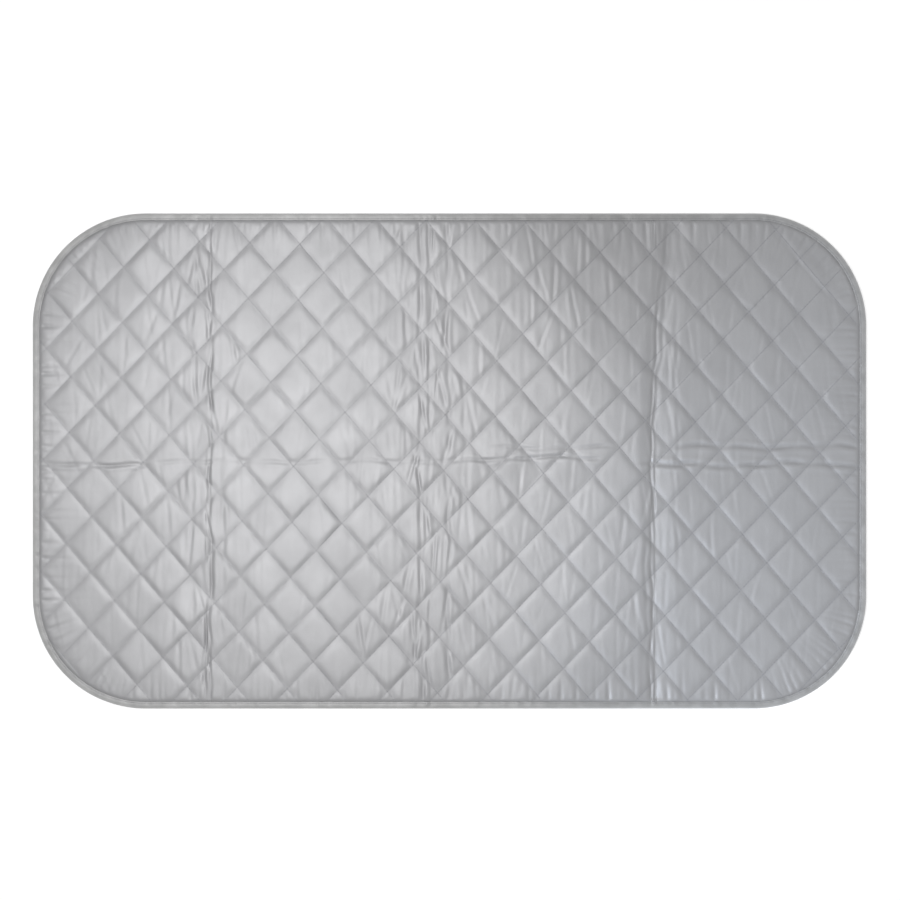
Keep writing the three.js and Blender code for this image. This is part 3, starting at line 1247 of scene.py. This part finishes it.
@dataclass(frozen=True)
class Lockstitch:
    """Rows of sewing thread that show on a surface between needle holes.

    Attributes:
        stitch: Length of a stitch.
        radius: Of the thread, drawn a little stout so that it shows.
        sink: How far the thread goes under the surface at a hole.
        stand: How far its middle stands over the surface between holes.
        dive: The share of a stitch over which it goes down into a hole.
        bend_step: Distance between points where the thread bends round a crease.
        needle: How far off the surface is looked for.
    """

    stitch: float = 3.4 * MM
    radius: float = 0.22 * MM
    sink: float = 0.35 * MM
    stand: float = 0.1 * MM
    dive: float = 0.16
    bend_step: float = 0.4 * MM
    needle: float = 50 * MM

    def ways(self, path: Callable[[np.ndarray], np.ndarray], length: float) -> tuple[np.ndarray, np.ndarray]:
        """Spread points along a row: at its holes, beside them, and close together at a crease.

        Args:
            path: Gives rows of x and y at distances along the row.
            length: How long the row is.

        Returns:
            Distances along the row, and whether each is at a hole.
        """
        count = max(int(length / self.stitch), 1)
        stitch = length / count
        holes = stitch * np.arange(count + 1)
        ends = self.dive * stitch
        fine = np.arange(ends, length, self.bend_step)
        across = path(fine)[:, 0]
        bent = np.any([np.abs(across - fold.place()) < fold.reach for fold in FOLDS.values()], axis=0)
        bent &= np.abs(np.mod(fine + stitch / 2, stitch) - stitch / 2) > 1.2 * ends
        ways = np.sort(np.concatenate([holes, holes[:-1] + ends, holes[1:] - ends, fine[bent]]))
        return ways, np.isclose(np.mod(ways + stitch / 20, stitch), stitch / 20)

    def sew(
        self,
        curve: Curve,
        surface: BVHTree,
        path: Callable[[np.ndarray], np.ndarray],
        length: float,
        side: int,
    ) -> None:
        """Lay one row of stitches on a surface.

        Args:
            curve: The curve that gets the row.
            surface: What is sewn.
            path: Gives rows of x and y at distances along the row.
            length: How long the row is.
            side: 1 for a row on the upper side, -1 for one below.
        """
        look = Vector((0, 0, -side))
        row = []
        ways, at_hole = self.ways(path, length)
        for (x, y), hole in zip(path(ways), at_hole):
            found = surface.ray_cast(Vector((x, y, self.needle * side)), look)[0]
            if found is not None:
                lift = -self.sink if hole else self.stand
                row.append((x, y, found.z + side * lift, 1.0))
        if len(row) < 4:
            return
        spline = curve.splines.new("POLY")
        spline.points.add(len(row) - 1)
        spline.points.foreach_set("co", np.array(row, np.float32).ravel())

    def new_row_set(self, name: str) -> Curve:
        """Start a curve that is as thick as the thread."""
        curve = bpy.data.curves.new(name, "CURVE")
        curve.dimensions = "3D"
        curve.bevel_depth = self.radius
        curve.bevel_resolution = 0
        curve.use_fill_caps = True
        return curve

    def finish(self, curve: Curve, stretch: Stretch, material: Material) -> None:
        """Turn a set of rows into one piece.

        Args:
            curve: The rows.
            stretch: The stretch that they bend with.
            material: The thread's finish.
        """
        name = curve.name
        drawn = bpy.data.objects.new(f"{name}_rows", curve)
        bpy.context.scene.collection.objects.link(drawn)
        shape = drawn.evaluated_get(bpy.context.evaluated_depsgraph_get())
        mesh = bpy.data.meshes.new_from_object(shape)
        mesh.name = name
        bpy.data.objects.remove(drawn)
        bpy.data.curves.remove(curve)
        settle(new_piece(name, mesh, material), stretch)


@dataclass
class QuiltingThread:
    """The rows of stitches along the quilting's lines, on the face and on the underside.

    Attributes:
        outline: The pad's outline.
        quilting: The stitched lines.
        row_inset: How far inside the edge the rows end.
        samples: How many places are tried along a line to find its ends.
        shortest: How many of them the shortest row covers.
        stitching: How the rows are sewn.
    """

    outline: Outline
    quilting: Quilting
    row_inset: float = 6 * MM
    samples: int = 6000
    shortest: int = 20
    stitching: Lockstitch = Lockstitch()

    def rows(self, low: float, high: float) -> list[tuple[np.ndarray, np.ndarray]]:
        """Find the ends of the rows between two limits of x.

        Args:
            low: The lower limit.
            high: The upper limit.

        Returns:
            The two ends of each row, as x and y.
        """
        found = []
        steps = np.linspace(-self.quilting.reach, self.quilting.reach, self.samples)
        for line in range(-self.quilting.reach, self.quilting.reach + 1):
            for family in (0, 1):
                lattice = np.empty((len(steps), 2))
                lattice[:, family] = line
                lattice[:, 1 - family] = steps
                plan = self.quilting.plan(lattice)
                inside = self.outline.depth(*plan.T) > self.row_inset
                inside &= (plan[:, 0] >= low) & (plan[:, 0] <= high)
                if inside.sum() > self.shortest:
                    found.append((plan[inside][0], plan[inside][-1]))
        return found

    @staticmethod
    def straight(start: np.ndarray, end: np.ndarray, ways: np.ndarray) -> np.ndarray:
        """Give places along a straight row at distances from its start."""
        return start + np.outer(ways / np.hypot(*(end - start)), end - start)

    def build(self, face: BVHTree, underside: list[Object], material: Material) -> None:
        """Sew all the rows.

        Args:
            face: The face's surface.
            underside: The backing's pieces.
            material: The thread's finish.
        """
        limits = (-self.outline.half_length, *stretch_limits(), self.outline.half_length)
        below = surface_of(*(piece.data for piece in underside))
        for stretch, low, high in zip(Stretch, limits, limits[1:]):
            curve = self.stitching.new_row_set(f"quilting_thread_{stretch.label}")
            for start, end in self.rows(low, high):
                length = float(np.hypot(*(end - start)))
                path = partial(self.straight, start, end)
                for surface, side in ((face, 1), (below, -1)):
                    self.stitching.sew(curve, surface, path, length, side)
            self.stitching.finish(curve, stretch, material)


@dataclass
class BindingThread:
    """The row of stitches that holds the tape, near its inner edge on both sides.

    Attributes:
        outline: The pad's outline.
        row_inset: How far inside the edge the row runs.
        stitching: How the row is sewn.
    """

    outline: Outline
    row_inset: float = 5.6 * MM
    stitching: Lockstitch = Lockstitch(stitch=3.0 * MM)

    def around(self, start: float, ways: np.ndarray) -> np.ndarray:
        """Give places along the row at distances from a start."""
        edge, outward = self.outline.walk(start + ways)
        return edge - self.row_inset * outward

    def build(self, tape: dict[Run, Object], material: Material) -> None:
        """Sew along each run of tape.

        Args:
            tape: The runs of tape.
            material: The thread's finish.
        """
        for run, (start, end) in self.outline.run_limits().items():
            surface = surface_of(tape[run].data)
            curve = self.stitching.new_row_set(f"binding_thread_{run.label}")
            for side in (1, -1):
                self.stitching.sew(curve, surface, partial(self.around, start), end - start, side)
            self.stitching.finish(curve, run.stretch, material)


@dataclass(frozen=True)
class Lamp:
    """One lamp over the table.

    Attributes:
        name: Its name.
        kind: Its kind in Blender.
        energy: Its power in watts.
        place: Where it hangs.
        target: What it points at.
        settings: Its other settings.
    """

    name: str
    kind: str
    energy: float
    place: tuple[float, float, float]
    target: tuple[float, float, float]
    settings: dict[str, Any]

    def hang(self) -> None:
        """Put the lamp in the scene."""
        lamp = bpy.data.lights.new(self.name, self.kind)
        lamp.energy = self.energy
        for setting, value in self.settings.items():
            setattr(lamp, setting, value)
        held = bpy.data.objects.new(self.name, lamp)
        held.location = self.place
        heading = Vector(self.target) - Vector(self.place)
        held.rotation_euler = heading.to_track_quat("-Z", "Y").to_euler()
        bpy.context.scene.collection.objects.link(held)


SOFT_LAMP = {"shape": "DISK", "size": 0.5}
POOL_LAMP = {"spot_size": 2 * math.atan(0.355 / 1.2), "spot_blend": 0.2, "shadow_soft_size": 0.05}
SLANTING_LAMP = {
    "spot_size": math.radians(40), "spot_blend": 1.0, "shadow_soft_size": 0.12, "color": linear("#E9F3FF")[:3]
}
LAMPS = (
    Lamp("soft_lamp", "AREA", 1.85, (-0.27, 0.1, 1.0), (-0.27, 0.1, 0.0), SOFT_LAMP),
    Lamp("pool_lamp", "SPOT", 7.5, (-0.15, -0.03, 1.2), (-0.15, -0.03, 0.0), POOL_LAMP),
    Lamp("slanting_lamp", "SPOT", 36.0, (-0.4, -0.62, 0.8), (0.58, 0.0, 0.0), SLANTING_LAMP),
)


@dataclass(frozen=True)
class Studio:
    """A white table, soft light from above the pad's left half, and a camera straight above.

    Attributes:
        view_width: How much of the table the picture shows across.
        pad_offset: Where the picture's middle lies on the table.
        focus_height: The height at which the view has that width.
        lens: Focal length in millimetres.
        sensor: Sensor width in millimetres.
        sight: How far the camera sees.
        table_size: Half the table's width, and the distance to the wall round it.
        sky: The world's light from straight below and from straight above.
    """

    view_width: float = 0.917
    pad_offset: tuple[float, float] = (0.5 * MM, 11.2 * MM)
    focus_height: float = 4 * MM
    lens: float = 120.0
    sensor: float = 36.0
    sight: float = 200.0
    table_size: float = 40.0
    sky: tuple[float, float] = (0.43, 0.53)

    def add_table(self) -> None:
        """Lay the table under the pad, with a pale wall far round it that hides the horizon."""
        white = PaleTable().material()
        reach = self.table_size
        floor, ring = bmesh.new(), bmesh.new()
        bmesh.ops.create_grid(floor, x_segments=1, y_segments=1, size=reach)
        bmesh.ops.create_cone(ring, segments=96, radius1=reach, radius2=reach, depth=0.5 * reach)
        bmesh.ops.reverse_faces(ring, faces=ring.faces[:])
        for name, bm in (("table", floor), ("wall", ring)):
            stage = new_piece(name, mesh_from(name, bm), white)
            stage.location.z = -0.1 * MM

    def add_world(self) -> None:
        """Surround the pad with even light that is stronger from above than from the sides."""
        world = bpy.data.worlds.new("studio")
        bpy.context.scene.world = world
        world.use_nodes = True
        tree = world.node_tree
        way = add_node(tree, "TexCoord", out="Generated")
        up = add_node(tree, "SeparateXYZ", {0: way}, "Z")
        low, high = self.sky
        strength = add_node(tree, "MapRange", {"Value": up, "To Min": low, "To Max": high})
        feed(tree.nodes["Background"], {"Color": linear("#FFFFFF"), "Strength": strength})

    def add_camera(self) -> None:
        """Look straight down from far enough that the outline stays square."""
        camera = bpy.data.cameras.new("camera")
        camera.lens = self.lens
        camera.sensor_width = self.sensor
        camera.clip_end = self.sight
        held = bpy.data.objects.new("camera", camera)
        held.location = (*self.pad_offset, self.view_width * self.lens / self.sensor + self.focus_height)
        bpy.context.scene.collection.objects.link(held)
        bpy.context.scene.camera = held

    def build(self) -> None:
        """Set up the table, the light and the camera."""
        self.add_table()
        self.add_world()
        for lamp in LAMPS:
            lamp.hang()
        self.add_camera()
        bpy.context.scene.view_settings.view_transform = "Standard"


def main() -> None:
    """Build the pad's pieces in order, then the studio."""
    logging.basicConfig(level=logging.INFO, format="%(name)s: %(message)s")
    low, high = CAD_BOX
    outline = Outline((high[0] - low[0]) / 2, (high[1] - low[1]) / 2)
    quilting = Quilting()
    thread = PolyesterThread().material()
    backing = BackingCloth(outline, quilting)
    underside = backing.build(UnbleachedCotton().material())
    face = QuiltedFace(outline, quilting, backing).build(AluminisedCotton().material())
    tape = BindingTape(outline).build(CoatedTwillTape().material())
    QuiltingThread(outline, quilting).build(face, underside, thread)
    BindingThread(outline).build(tape, thread)
    Studio().build()


if __name__ == "__main__":
    main()
